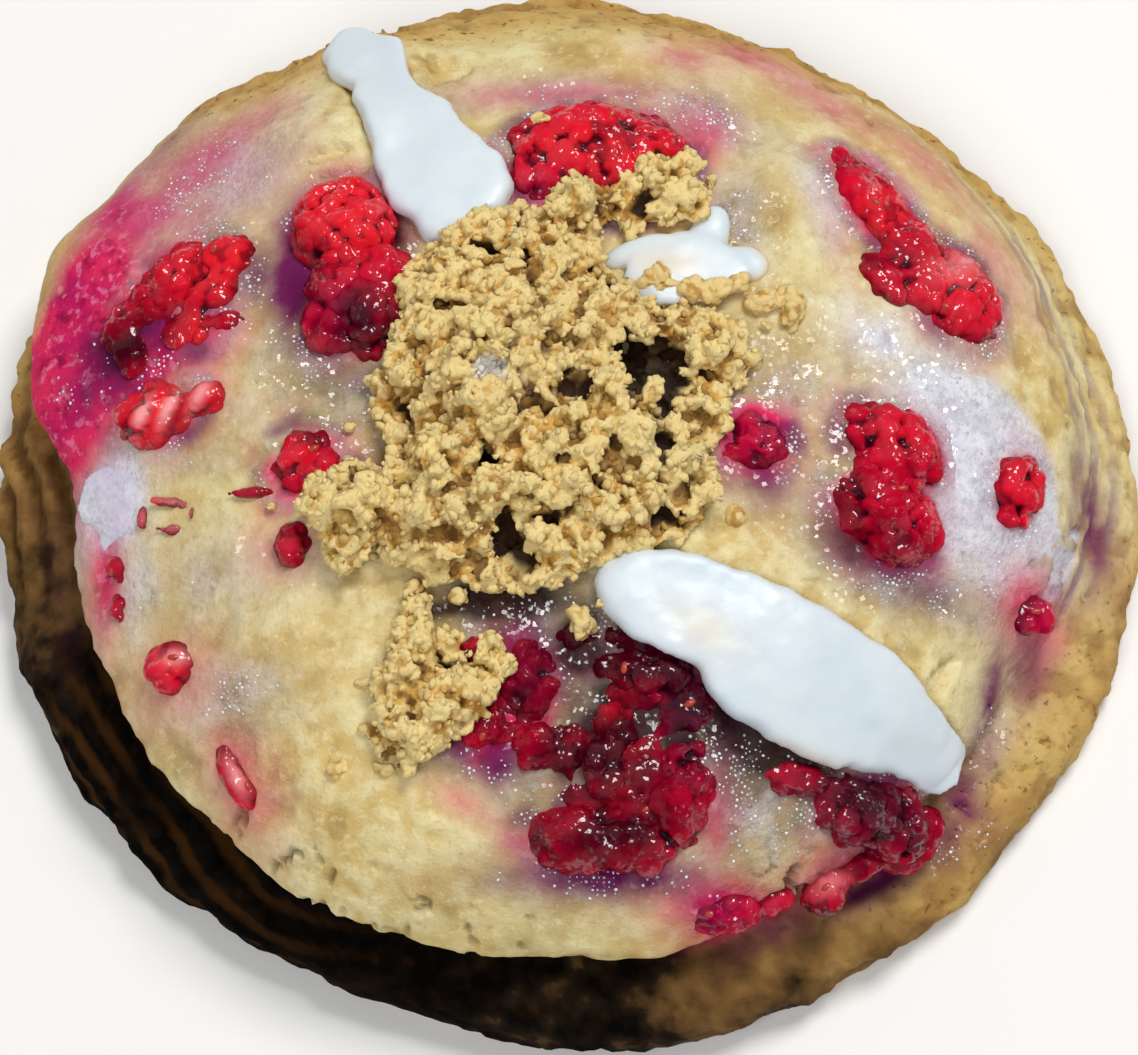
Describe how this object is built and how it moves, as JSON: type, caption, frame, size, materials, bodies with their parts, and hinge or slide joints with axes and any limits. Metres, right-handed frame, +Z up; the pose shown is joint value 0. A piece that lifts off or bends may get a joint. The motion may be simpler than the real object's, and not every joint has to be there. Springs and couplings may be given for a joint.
{
  "type": "raspberry cheesecake cookie",
  "caption": "Thick round cookie with a domed pale cap slumped over a browned foot, topped with crushed raspberries, pieces of cream cheese and a heap of biscuit crumbs.",
  "frame": {"origin": "middle of the whole cookie's box in plan, on the flat underside", "axes": "+Z up out of the top; +Y towards the back, where the long piece of cream cheese runs over the edge; +X to the right, towards the sunk piece of cream cheese"},
  "size_m": [0.112, 0.11, 0.0365],
  "materials": {
    "dough": "soft baked dough, pale on top and browned at the foot, damp round the fruit",
    "berry": "wet crushed raspberry",
    "cream": "smooth satin cream cheese",
    "crumb": "dry golden biscuit crumb"
  },
  "bodies": {
    "root": {"cookie": "dough", "berry_back": "berry", "berry_back_left": "berry", "berry_left": "berry", "berry_left_slice": "berry", "berry_right_long": "berry", "berry_right": "berry", "berry_right_small": "berry", "berry_front": "berry", "berry_front_left": "berry", "berry_front_right": "berry", "berry_mid_left": "berry", "berry_mid_right": "berry", "cream_front_right": "cream", "cream_back_left": "cream", "cream_middle": "cream", "cream_right": "cream", "cream_left": "cream", "crumb_heap": "crumb", "crumb_clump_front": "crumb"}
  },
  "joints": []
}
